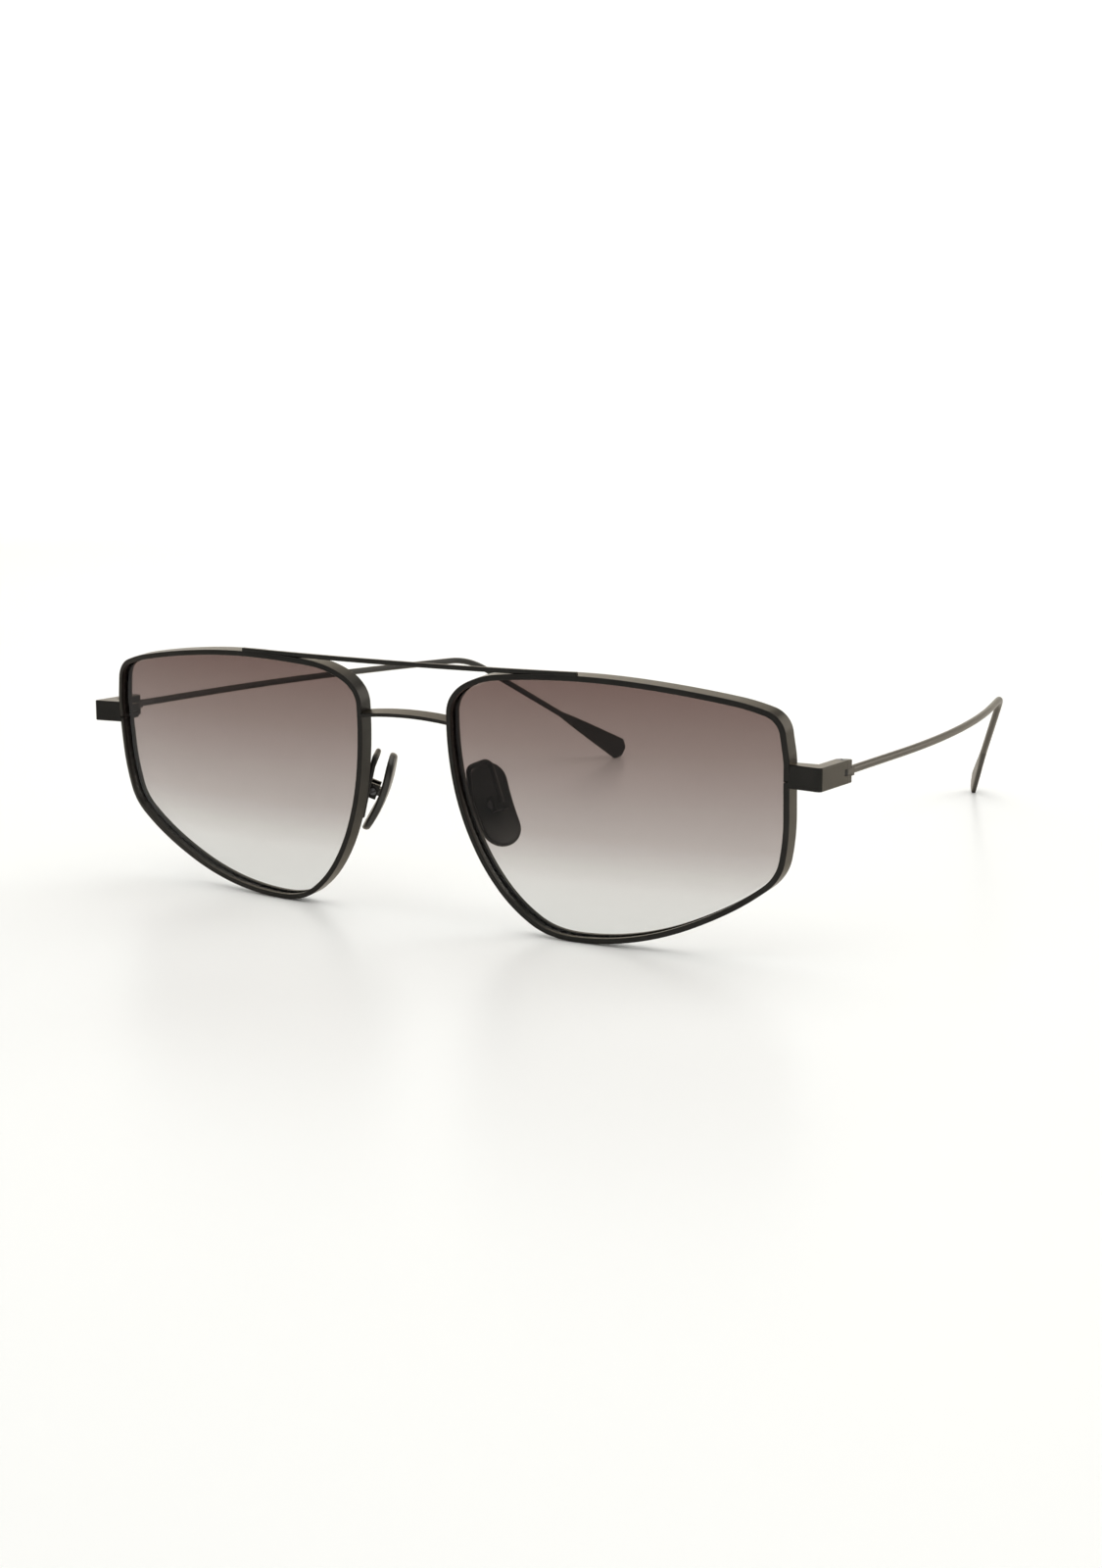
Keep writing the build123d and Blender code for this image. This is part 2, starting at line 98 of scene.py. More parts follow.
# Brow bar and bridge
BROW_HALF_LENGTH = 32.7 * MM
BROW_HEIGHT = 0.62 * MM       # above the top of the eyewires
BROW_SEAT = 0.15 * MM         # below it
BROW_DEPTH = 0.7 * MM
BROW_SAG = 0.35 * MM
BROW_EDGE = 0.2 * MM
BRIDGE_THICKNESS = 0.6 * MM
BRIDGE_DEPTH = 2.6 * MM
BRIDGE_RISE = 0.5 * MM
BRIDGE_TILT = radians(6.5)    # the rear edge is the higher one
BRIDGE_BELOW_TOP = 9.4 * MM
BRIDGE_EDGE = 0.14 * MM
BRIDGE_OVERRUN = 0.3 * MM     # into each eyewire
STRIP_SECTIONS = 120

# Temples, from the hinge axis
TEMPLE_DROP = radians(2.0)
WIRE_RADIUS = 0.63 * MM
WIRE_OUT = 0.5 * MM
WIRE_IN_BARREL = 0.4 * MM
WIRE_STEP = 0.5 * MM          # spacing of the sections along a temple
WIRE_SIDES = 40
SWEEP_REACH = 51.4 * MM
SWEEP_RADIUS = 260 * MM
BEND_REACH = 94.9 * MM
BEND_IN = 9.9 * MM
BEND_RADIUS = 17 * MM
TIP_REACH = 129.9 * MM
TIP_IN = 28.2 * MM
TIP_FLAT = 0.15 * MM
PADDLE_LENGTH = 19 * MM
PADDLE_WIDTH = 5.2 * MM
PADDLE_THICKNESS = 1.1 * MM
PADDLE_CORNER = 1.4 * MM
PADDLE_TWIST = radians(-10)   # turn of the paddles about their own length
PADDLE_WIDENS = 0.85          # power of the share of the paddle that its width follows
PADDLE_THINS_BY = 1 / 3       # share of the paddle where it is down to its thickness
PADDLE_SQUARES_BY = 1 / 2.2   # and where its section is at its squarest
CIRCLE_POWER = 2              # powers of the superellipse: a circle, and the paddle
PADDLE_POWER = 4.6
CLIP_FROM = PADDLE_CORNER * 1.15     # where the close sections of the tip start
WIRE_UP_TO = PADDLE_CORNER * 1.2     # and the wire's own sections stop
CLIP_SECTIONS = 9
TIP_ROUND = 0.1 * MM          # length over which the tip's edge is rounded
TIP_SECTIONS = 5
TIP_SHRINK = 0.12             # share that the section loses there

# Nose pads and their arms
PAD_FLARE = radians(22.6)
PAD_SPLAY = radians(31)
PAD_TILT = radians(10.6)
PAD_PIVOT = 1.35 * MM
PAD_LENGTH = 14.2 * MM
PAD_WIDTH = 7.0 * MM
PAD_THICKNESS = 1.2 * MM
PAD_CURVE = 26 * MM
PAD_EDGE = 0.4 * MM
PAD_BELOW_TOP = 24.3 * MM
PAD_POINTS = 120              # round its outline
PAD_RINGS = 14                # on each face
PAD_EDGE_RINGS = 9            # round its edge, with the last ring of each face
ARM_RADIUS = 0.45 * MM
ARM_SEAT = 0.15 * MM
ARM_ON_BOX = 2.92 * MM        # back of the pad to the centre of the arm
ARM_FOOT_BELOW_TOP = 27.4 * MM
ARM_FOOT_LENGTH = 4.6 * MM
ARM_LOOP_BELOW_TOP = 17.3 * MM
ARM_BEND_RADIUS = 1.1 * MM
ARM_STEP = 0.2 * MM
ARM_SIDES = 28
ARM_END = 0.27 * MM           # rounding of the arm's ends

# Screws: sizes, turn of the slot about the screw
Screw = namedtuple("Screw", "head_radius head_height shank_radius slot_width turn")
HINGE_SCREW = Screw(0.74 * MM, 0.4 * MM, 0.5 * MM, 0.22 * MM, radians(35))
CLOSING_SCREW = Screw(0.79 * MM, 0.4 * MM, 0.5 * MM, 0.24 * MM, radians(-20))
PAD_SCREW = Screw(0.59 * MM, 0.3 * MM, 0.35 * MM, 0.18 * MM, radians(50))
HINGE_SCREW_FOOT = 1.4 * MM   # middle of the hinge to the underside of the head
HINGE_SCREW_LENGTH = 3.0 * MM
PAD_BOX_HALF = 1.25 * MM      # the pad screw goes right through the box
SCREW_EDGE = 0.22             # rounding, slot depth and dome, in shares of the head
SCREW_SLOT = 0.5
SCREW_DOME = 0.12
SCREW_EDGE_MOST = 0.9         # largest rounding, in shares of a section's half width
SCREW_SECTIONS = 12           # on each side of the slot
SCREW_EDGE_POINTS = 5
LEAST_HALF = 1e-7             # half width of a head's outermost sections
SHANK_SIDES = 32

# Edges of all shapes
ARC_POINTS = 5                # on each rounded corner of a section
CAP_RINGS = 4                 # on each rounded end of a wire or a strip
LEAST_ARC_STEPS = 6           # on a bend of a path
SAME_PLACE = 1e-8             # points closer than this are one
FLAT_WITHIN = radians(1)      # CAD triangles closer than this in slope are one flat
SHARP_FROM = radians(35)      # CAD edges that turn by more than this are rounded
BEVEL_STEPS = 3
FLATS_RULE = 100              # large flats decide the shading up to their edges

# Looks
NOISE_LOW, NOISE_HIGH = 0.3, 0.7         # range of a noise that colours spread over
PLATING_WARMTH = 0.88
WARM_SHEEN = (1.0, 0.93, 0.84, 1.0)      # what the plating mirrors at a grazing angle
CLOUD = 6 * MM                           # size of the plating's faint clouds
CLOUD_SHARE, GRAIN_SHARE = 0.7, 0.3      # of the plating's changes of colour
BLAST_GRAIN = 0.11 * MM
TURNED_GRAIN = 0.05 * MM
TURNED_GRAIN_HEIGHT = 0.002 * MM
FINE_DETAIL = 3.0
LENS_DARK = (0.386, 0.312, 0.294, 1)     # one face, at the top of the lens
LENS_CLEAR = (0.885, 0.888, 0.88, 1)     # one face, at the foot
LENS_SHEEN = 0.012                       # share mirrored by a face seen head on
LENS_BLOTCH = 9 * MM                     # size of the tint's faint unevenness
LENS_UNEVEN = 0.012                      # and its reach, in shares of the height
BEVEL_CLEARER = 0.5
# Clearness of the tint: at a share of the lens's height, the share of LENS_CLEAR
LENS_CLEARNESS = [
    (0.04, 1.0),
    (0.22, 0.87),
    (0.41, 0.53),
    (0.60, 0.335),
    (0.75, 0.185),
    (0.97, 0.01),
]

# Camera
CAMERA_AZIMUTH = radians(31.97)
CAMERA_ELEVATION = radians(11.42)
CAMERA_ROLL = radians(-1.0)
CAMERA_TARGET = Vector((25.91, -68.91, 25.21)) * MM
CAMERA_DISTANCE = 335.9 * MM
FOCAL_LENGTH, SENSOR_WIDTH = 49.35, 36
NEAREST_SEEN = 0.01

# Studio, in a frame turned with the camera: to its right, away from it and up
FLOOR_HALF_WIDTH = 4.0
FLOOR_NEAR = -3.0
FLOOR_FAR = 1.6               # where the backdrop's bend starts
FLOOR_BEND = 0.8
FLOOR_BEND_POINTS = 24
FLOOR_CLOUD = 0.4
BACKDROP_TOP = 2.2
FLOOR_GAP = 0.00002           # keeps the floor clear of what stands on it
LIT_CENTRE = (0, -0.02, 0.02)
WARM_WHITE = (1, 0.995, 0.98)
WORLD_COLOUR, WORLD_STRENGTH = (1, 1, 0.99, 1), 0.46
# Lamps: name, place, target, size, watts
LAMPS = [
    ("overhead", (0.0, 0.0, 1.4), LIT_CENTRE, 2.2, 18),
    ("right_side", (1.2, 0.5, 0.45), LIT_CENTRE, 0.8, 5),
    ("backdrop_wash", (0, 1.5, 1.5), (0, 2.4, 1.0), 2.4, 26),
]


# ---------------------------------------------------------------- materials
class Socket:
    """An output socket of a node tree. Arithmetic on it adds Math nodes."""

    def __init__(self, finish, socket):
        self.finish, self.socket = finish, socket

    def _maths(self, operation, first, second):
        return self.finish.node(
            "ShaderNodeMath", {"operation": operation}, {0: first, 1: second}
        )

    def __add__(self, other):
        return self._maths("ADD", self, other)

    def __sub__(self, other):
        return self._maths("SUBTRACT", self, other)

    def __mul__(self, other):
        return self._maths("MULTIPLY", self, other)

    def __pow__(self, other):
        return self._maths("POWER", self, other)

    __radd__ = __add__


class Finish:
    """A material under construction. Its node method makes any node."""

    def __init__(self, name):
        self.material = bpy.data.materials.new(name)
        self.material.use_nodes = True
        self.tree = self.material.node_tree
        self.shader = self.tree.nodes["Principled BSDF"]

    def node(self, kind, settings, inputs, output=0):
        made = self.tree.nodes.new(kind)
        for name, value in settings.items():
            if name == "stops":
                self._set_stops(made.color_ramp, value)
            else:
                setattr(made, name, value)
        self.fill(made, inputs)
        return Socket(self, made.outputs[output])

    @staticmethod
    def _set_stops(ramp, stops):
        while len(ramp.elements) < len(stops):
            ramp.elements.new(0.5)
        for element, (position, colour) in zip(ramp.elements, stops):
            element.position = position
            element.color = colour

    def fill(self, node, inputs):
        for name, value in inputs.items():
            if isinstance(value, Socket):
                self.tree.links.new(value.socket, node.inputs[name])
            else:
                node.inputs[name].default_value = value

    def surface(self, **inputs):
        self.fill(self.shader, {k.replace("_", " "): v for k, v in inputs.items()})
        return self.material

    def place(self):
        return self.node("ShaderNodeTexCoord", {}, {}, output="Object")

    def noise(self, place, grain, detail=2.0):
        """Noise whose features are about grain metres across."""
        inputs = {"Vector": place, "Scale": 1 / grain, "Detail": detail}
        return self.node("ShaderNodeTexNoise", {}, inputs)

    def ramp(self, value, stops):
        return self.node("ShaderNodeValToRGB", {"stops": stops}, {"Fac": value})

    def spread(self, noise, lowest, highest):
        """Colours from lowest to highest over the middle of a noise's range."""
        return self.ramp(noise, [(NOISE_LOW, lowest), (NOISE_HIGH, highest)])

    def bump(self, height, distance):
        inputs = {"Height": height, "Distance": distance, "Strength": 1.0}
        return self.node("ShaderNodeBump", {}, inputs)

    def mix(self, share, first, second):
        inputs = {0: share, 1: first, 2: second}
        return self.node("ShaderNodeMixShader", {}, inputs)

    def transparent(self, colour):
        return self.node("ShaderNodeBsdfTransparent", {}, {"Color": colour})


def grey(value, warmth=1.0):
    """A grey with full alpha, warmer as warmth falls below 1."""
    return (value, value * (2 + warmth) / 3, value * warmth, 1.0)


def satin_coat(name, base, roughness, grain_height):
    """Dark plated metal, bead-blasted: a fine even grain, with broad faint clouds."""
    finish = Finish(name)
    place = finish.place()
    clouds = finish.noise(place, CLOUD)
    grain = finish.noise(place, BLAST_GRAIN, FINE_DETAIL)
    changes = clouds * CLOUD_SHARE + grain * GRAIN_SHARE
    darkest = grey(base * 0.82, PLATING_WARMTH)
    lightest = grey(base * 1.2, PLATING_WARMTH)
    return finish.surface(
        Base_Color=finish.spread(changes, darkest, lightest),
        Metallic=1.0,
        Specular_Tint=WARM_SHEEN,
        Roughness=roughness - 0.06 + clouds * 0.06 + grain * 0.08,
        Normal=finish.bump(grain, grain_height),
    )


def turned_steel(name, base):
    """Plated screw steel: finer grain and a brighter, harder shine."""
    finish = Finish(name)
    grain = finish.noise(finish.place(), TURNED_GRAIN, FINE_DETAIL)
    return finish.surface(
        Base_Color=finish.spread(grain, grey(base * 0.7), grey(base * 1.3)),
        Metallic=0.9,
        Roughness=0.3 + grain * 0.15,
        Normal=finish.bump(grain, TURNED_GRAIN_HEIGHT),
    )


def tinted_lens():
    """Polished lens, brown at the top and nearly clear at the foot. Each face lets
    light through a tint that goes from dark to clear over the height of the lens,
    and mirrors a share that grows as the fifth power of the grazing (Schlick). The
    bevelled edge is clearer."""
    finish = Finish("tinted_lens")
    place = finish.place()
    height = finish.node("ShaderNodeSeparateXYZ", {}, {0: place}, output="Z")
    blotch = finish.noise(place, LENS_BLOTCH) - 0.5
    level = height * (1 / EYE_TALL) + blotch * LENS_UNEVEN
    stops = [(share, grey(value)) for share, value in LENS_CLEARNESS]
    named = {"attribute_name": "bevel"}
    edge = finish.node("ShaderNodeAttribute", named, {}, output="Fac")
    clearness = finish.ramp(level, stops) + edge * BEVEL_CLEARER
    dark, clear = finish.transparent(LENS_DARK), finish.transparent(LENS_CLEAR)
    tint = finish.mix(clearness, dark, clear)
    mirror = Socket(finish, finish.shader.outputs[0])
    finish.surface(
        Base_Color=grey(0.95),
        Metallic=1.0,
        Roughness=0.03 + finish.noise(place, 2 * MM) * 0.02,
    )
    facing = finish.node("ShaderNodeLayerWeight", {}, {"Blend": 0.5}, output="Facing")
    mirrored_share = facing ** 5 * (1 - LENS_SHEEN) + LENS_SHEEN
    whole = finish.mix(mirrored_share, tint, mirror)
    finish.fill(finish.tree.nodes["Material Output"], {"Surface": whole})
    return finish.material


# The finish of each material slot
FINISHES = {
    "front_metal": satin_coat("front_metal", 0.028, 0.31, 0.004 * MM),
    "temple_metal": satin_coat("temple_metal", 0.05, 0.34, 0.003 * MM),
    "pad_metal": satin_coat("pad_metal", 0.06, 0.3, 0.002 * MM),
    "screw_metal": turned_steel("screw_metal", 0.16),
    "tinted_lens": tinted_lens(),
}


# ------------------------------------------------------------------- meshes
def unit(vectors):
    return vectors / np.linalg.norm(vectors, axis=-1, keepdims=True)


def grid_faces(rows, columns, around):
    """Quads of a grid of points, row by row. around joins the last column to the
    first."""
    row = np.arange(rows - 1)[:, None]
    column = np.arange(columns if around else columns - 1)[None, :]
    after, beside = row + 1, (column + 1) % columns
    corners = [
        row * columns + column,
        row * columns + beside,
        after * columns + beside,
        after * columns + column,
    ]
    return np.stack(np.broadcast_arrays(*corners), -1).reshape(-1, 4)


def facing_out(faces, points):
    """Quads turned so that a closed surface faces outwards: its signed volume is
    the sum of the tetrahedra from the origin to each face."""
    a, b, c, d = (points[faces[:, k]] for k in range(4))
    volume = np.sum(a * (np.cross(b, c) + np.cross(c, d)))
    return faces if volume > 0 else faces[:, ::-1]


def grid(points):
    """A closed surface from rings of points: its first and last rings are points."""
    rows, columns = points.shape[:2]
    flat = points.reshape(-1, 3)
    return flat, facing_out(grid_faces(rows, columns, around=True), flat)


def linked(name, data):
    """A new object that shows this mesh, lamp or camera."""
    made = bpy.data.objects.new(name, data)
    bpy.context.scene.collection.objects.link(made)
    return made


def finished(node, body, slot, mesh):
    """An object that shows mesh in place of a CAD node, in its slot's finish."""
    mesh.materials.clear()
    mesh.materials.append(FINISHES[slot])
    made = linked(node + "_finished", mesh)
    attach(made, body)
    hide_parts(node)
    return made


def piece(node, body, slot, surfaces, bevel=None):
    """A finished piece from closed surfaces, with equal points merged. Each vertex
    normal is the sum of its faces' area vectors, so flats stay flat up to their
    rounded edges."""
    points = np.concatenate([surface[0] for surface in surfaces])
    starts = np.cumsum([0] + [len(surface[0]) for surface in surfaces[:-1]])
    faces = np.concatenate([s[1] + start for s, start in zip(surfaces, starts)])
    mesh = bpy.data.meshes.new(node + "_finished")
    mesh.from_pydata(points.tolist(), [], faces.tolist())
    if bevel is not None:
        mesh.attributes.new("bevel", "FLOAT", "POINT").data.foreach_set(
            "value", bevel.astype(np.float32)
        )
    shape = bmesh.new()
    shape.from_mesh(mesh)
    bmesh.ops.remove_doubles(shape, verts=shape.verts, dist=SAME_PLACE)
    bmesh.ops.dissolve_degenerate(shape, edges=shape.edges, dist=SAME_PLACE / 10)
    shape.to_mesh(mesh)
    shape.free()
    smooth_by_area(mesh)
    finished(node, body, slot, mesh)


def smooth_by_area(mesh):
    """Sets each vertex normal to the sum of its triangles' area vectors."""
    places = np.zeros(len(mesh.vertices) * 3)
    mesh.vertices.foreach_get("co", places)
    places = places.reshape(-1, 3)
    mesh.calc_loop_triangles()
    corners = np.zeros(len(mesh.loop_triangles) * 3, np.int32)
    mesh.loop_triangles.foreach_get("vertices", corners)
    corners = corners.reshape(-1, 3)
    a, b, c = (places[corners[:, k]] for k in range(3))
    areas = np.cross(b - a, c - a)
    normals = np.zeros_like(places)
    for k in range(3):
        np.add.at(normals, corners[:, k], areas)
    mesh.shade_smooth()
    mesh.normals_split_custom_set_from_vertices(unit(normals + 1e-30).tolist())


def mirrored(surfaces, side):
    """The same surfaces on the left, side 1, or the right, side -1."""
    if side > 0:
        return surfaces
    return [(points * (-1, 1, 1), faces[:, ::-1]) for points, faces in surfaces]


def rounded_profile(corners, radii):
    """A closed outline through corners, each cut by an arc of its radius: the arc
    leaves the sides radius / tan(half the corner's angle) from the corner."""
    corners = np.array(corners, float)
    back = unit(np.roll(corners, 1, 0) - corners)
    ahead = unit(np.roll(corners, -1, 0) - corners)
    half = np.arccos(np.clip(np.sum(back * ahead, 1), -1, 1)) / 2
    inside = unit(back + ahead)
    outline = []
    for corner, radius, angle, inner, side in zip(corners, radii, half, inside, back):
        centre = corner + inner * radius / sin(angle)
        across = np.array([-inner[1], inner[0]])
        across *= np.sign(across @ side)
        turn = np.linspace(1, -1, ARC_POINTS)[:, None] * (pi / 2 - angle)
        outline.append(centre - radius * (np.cos(turn) * inner - np.sin(turn) * across))
    return np.concatenate(outline)


def capped(profile, radius):
    """Rings that round off the end of a swept profile: pairs of how far to go along
    and the profile shrunk by as much as a quarter circle of radius says, then a
    point in the middle."""
    tangent = np.roll(profile, -1, 0) - np.roll(profile, 1, 0)
    outward = unit(np.stack([tangent[:, 1], -tangent[:, 0]], -1))
    middle = profile.mean(0)
    outward *= np.sign(np.sum(outward * (profile - middle)))
    rings = [
        (radius * sin(angle), profile - outward * radius * (1 - cos(angle)))
        for angle in np.linspace(0, pi / 2, CAP_RINGS)
    ]
    last = rings[-1][1]
    return rings + [(radius, middle + (last - middle) * share) for share in (0.5, 0)]


def swept(profile, centres, across, upward, end_radius):
    """A profile carried along a path: each point is the path's centre plus its two
    coordinates times the section's two unit vectors. Both ends are rounded off."""
    along = unit(np.gradient(centres, axis=0))
    caps = capped(profile, end_radius)

    def ring(k, shape, push):
        return (
            centres[k]
            + along[k] * push
            + shape[:, :1] * across[k]
            + shape[:, 1:] * upward[k]
        )

    head = [ring(0, shape, end_radius - push) for push, shape in caps[::-1]]
    tail = [ring(-1, shape, push - end_radius) for push, shape in caps]
    body = (
        centres[1:-1, None]
        + profile[None, :, :1] * across[1:-1, None]
        + profile[None, :, 1:] * upward[1:-1, None]
    )
    return grid(np.concatenate([np.array(head), body, np.array(tail)]))


def rounded_path(points, radii, spacing):
    """Straight runs joined by tangent arcs, sampled about spacing apart. An arc
    starts radius * tan(half the turn) before its corner."""
    points = [np.array(p, float) for p in points]
    samples, here = [], points[0]
    for corner, ahead, radius in zip(points[1:-1], points[2:], radii):
        into, out = unit(corner - here), unit(ahead - corner)
        turn = np.arccos(np.clip(into @ out, -1, 1))
        reach = radius * tan(turn / 2)
        start = corner - into * reach
        samples.append(straight(here, start, spacing))
        inwards = unit(out - into * (into @ out))
        steps = max(LEAST_ARC_STEPS, int(radius * turn / spacing))
        angle = np.linspace(0, turn, steps, endpoint=False)[:, None]
        bend = np.sin(angle) * into + (1 - np.cos(angle)) * inwards
        samples.append(start + radius * bend)
        here = corner + out * reach
    samples.append(straight(here, points[-1], spacing))
    samples.append(points[-1][None])
    return np.concatenate(samples)


def straight(start, end, spacing):
    """Points from start up to, but not with, end."""
    count = max(2, int(np.linalg.norm(end - start) / spacing))
    return start + (end - start) * np.linspace(0, 1, count, endpoint=False)[:, None]


def turned(axis, angle):
    """Rotation matrix about a main axis."""
    return np.array(Matrix.Rotation(angle, 3, axis))


# --------------------------------------------------------- place of the front
rim_low, rim_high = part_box("eyewire_left")
NOSE_EDGE = rim_low.x
EYE_WIDTH = rim_high.x - rim_low.x
BOWL_X = NOSE_EDGE + EYE_CENTRE_OUT - LENS_RADIUS * sin(FACE_WRAP)
LEAN = turned("X", FRONT_LEAN)


def heading_arcs():
    """The eye's outline as arcs: each pair of nodes is joined by two arcs that meet
    where the two tangent lengths are equal. A point a share s along an arc of half
    turn h lies chord * sin(h s) / sin(h) away, at h s from the start's heading.
    Gives the points, and the heading at each."""
    stretch = EYE_WIDTH / DRAWN_WIDTH
    nodes = np.array(EYE_NODES)
    place = nodes[:, :2] * MM * (stretch, 1)
    heading = np.radians(nodes[:, 2])
    head = unit(np.stack([np.cos(heading) * stretch, np.sin(heading)], -1))
    end, tail = np.roll(place, -1, 0), np.roll(head, -1, 0)
    span = end - place
    along = np.sum(span * (head + tail), 1)
    spread = 2 * (1 - np.sum(head * tail, 1))
    reach = (np.sqrt(along ** 2 + spread * np.sum(span ** 2, 1)) - along) / spread
    middle = (place + end + (head - tail) * reach[:, None]) / 2
    starts = np.stack([place, middle], 1).reshape(-1, 2)
    chords = np.stack([middle - place, end - middle], 1).reshape(-1, 2)
    first = np.arctan2(head[:, 1], head[:, 0])
    bearing = np.arctan2(chords[:, 1], chords[:, 0])
    half = (bearing[::2] - first + pi) % (2 * pi) - pi
    second = first + 2 * half
    late = (bearing[1::2] - second + pi) % (2 * pi) - pi
    turn = np.stack([half, late], 1).reshape(-1, 1)
    begin = np.stack([first, second], 1).reshape(-1, 1)
    share = np.linspace(0, 1, ARC_SAMPLES, endpoint=False)[None]
    chord = np.linalg.norm(chords, axis=1)[:, None]
    length = chord * np.sin(turn * share) / np.sin(turn)
    angle = begin + turn * share
    towards = np.stack([np.cos(angle), np.sin(angle)], -1)
    points = starts[:, None] + length[..., None] * towards
    return points.reshape(-1, 2), (begin + 2 * turn * share).reshape(-1)


def eye_outline():
    """Outline points on the upright front, their inward directions, and lengths."""
    points, heading = heading_arcs()
    points = points + (NOSE_EDGE, 0)
    inward = np.stack([np.sin(heading), -np.cos(heading)], -1)
    steps = np.linalg.norm(np.roll(points, -1, 0) - points, axis=1)
    lengths = np.concatenate([[0], np.cumsum(steps)])
    return points, inward, lengths


def bowl(x, height, setback):
    """How far back a sphere that lies setback behind the eyewire's front is."""
    off_axis = (x - BOWL_X) ** 2 + (height - EYE_CENTRE_UP) ** 2
    return LENS_RADIUS - np.sqrt((LENS_RADIUS - setback) ** 2 - off_axis) - BOWL_FRONT


OUTLINE, INWARD, LENGTHS = eye_outline()


def upright_front(flat, setback):
    """Points of the upright front from places seen from the front and setbacks."""
    x, height = flat[..., 0], flat[..., 1]
    return np.stack([x, bowl(x, height, setback), height], -1)


def find_front_shift():
    """Move from the leant front to where it stands: the lowest corner of the
    eyewire's outer wall meets the lowest corner of its box."""
    walls = np.concatenate([upright_front(OUTLINE, d) for d in (0, RIM_DEPTH)])
    low = (walls @ LEAN.T).min(0)
    return np.array([0, rim_low.y - low[1], rim_low.z - low[2]])


FRONT_SHIFT = find_front_shift()


def lean(points):
    """Points of the upright front, leant and set down."""
    return points @ LEAN.T + FRONT_SHIFT


def stand_up(points):
    """The way back from the standing front to the upright one."""
    return (np.array(points) - FRONT_SHIFT) @ LEAN


def along_outline(lengths):
    """Outline points and inward directions at these lengths along it."""
    at = np.mod(lengths, LENGTHS[-1])
    place, inner = (
        np.stack(
            [np.interp(at, LENGTHS, np.append(column, column[0])) for column in values.T],
            -1,
        )
        for values in (OUTLINE, INWARD)
    )
    return place, unit(inner)


def outer_length(height):
    """Length along the outline where its outer side is at a height."""
    outer = OUTLINE[:, 0] > NOSE_EDGE + EYE_WIDTH / 2
    return LENGTHS[:-1][outer][np.argmin(abs(OUTLINE[outer][:, 1] - height))]


def nose_side(height):
    """The outline's nose side at a height, on the upright front."""
    inner = OUTLINE[:, 0] < NOSE_EDGE + EYE_CENTRE_OUT
    return OUTLINE[inner][np.argmin(abs(OUTLINE[inner][:, 1] - height)), 0]


# ------------------------------------------------------------ eyewire and lens
def eyewire():
    """The rim's section, inwards and back, carried round the outline from one side
    of the slit to the other. A section point lies inwards of the outline, on the
    sphere at its own depth."""
    groove_foot = RIM_WALL - GROOVE_DEPTH
    groove_back = GROOVE_SETBACK + GROOVE_WIDTH
    section = rounded_profile(
        [
            (0, 0),
            (RIM_WALL, 0),
            (RIM_WALL, GROOVE_SETBACK),
            (groove_foot, GROOVE_SETBACK),
            (groove_foot, groove_back),
            (RIM_WALL, groove_back),
            (RIM_WALL, RIM_DEPTH),
            (0, RIM_DEPTH),
        ],
        [RIM_EDGE, RIM_EDGE] + [GROOVE_EDGE] * 4 + [RIM_EDGE, RIM_EDGE],
    )
    hinge_height = stand_up(JOINTS["temple_left_fold"]["pos_m"])[2]
    slit = outer_length(hinge_height)
    count = int(LENGTHS[-1] / RIM_STEP)
    lengths = slit + np.linspace(RIM_SLIT / 2, LENGTHS[-1] - RIM_SLIT / 2, count)
    place, inward = along_outline(lengths)
    flat = place[:, None] + inward[:, None] * section[None, :, :1]
    walls = upright_front(flat, section[None, :, 1])
    first, last = (
        upright_front(place[[k]] + inward[[k]] * RIM_WALL * SLIT_MIDDLE, RIM_DEPTH / 2)
        for k in (0, -1)
    )
    rings = [walls[:1] * 0 + first, walls, walls[:1] * 0 + last]
    return [grid(lean(np.concatenate(rings)))]


def lens():
    """Rings from the middle of the lens out to its edge: a point is a share of the
    way from the middle to the outline, on the front or the back sphere, and the
    edge is bevelled on both sides. Gives the surfaces and the bevel's mask."""
    place, inward = along_outline(np.arange(0, LENGTHS[-1], LENS_STEP))
    edge = place + inward * LENS_INSET
    near_edge = place + inward * (LENS_INSET + LENS_BEVEL + GROOVE_DEPTH)
    middle = np.array([NOSE_EDGE + EYE_CENTRE_OUT, EYE_CENTRE_UP])
    shares = np.sqrt(np.linspace(0, 1, LENS_RINGS))[:, None, None]
    sheet = middle + (near_edge - middle) * shares
    back_setback = LENS_SETBACK + LENS_THICKNESS
    rings = (
        [upright_front(ring, LENS_SETBACK) for ring in sheet]
        + [upright_front(edge, LENS_SETBACK), upright_front(edge, back_setback)]
        + [upright_front(ring, back_setback) for ring in sheet[::-1]]
    )
    masks = [0] * len(sheet) + [1, 1] + [0] * len(sheet)
    return [grid(lean(np.array(rings)))], np.repeat(masks, len(edge))


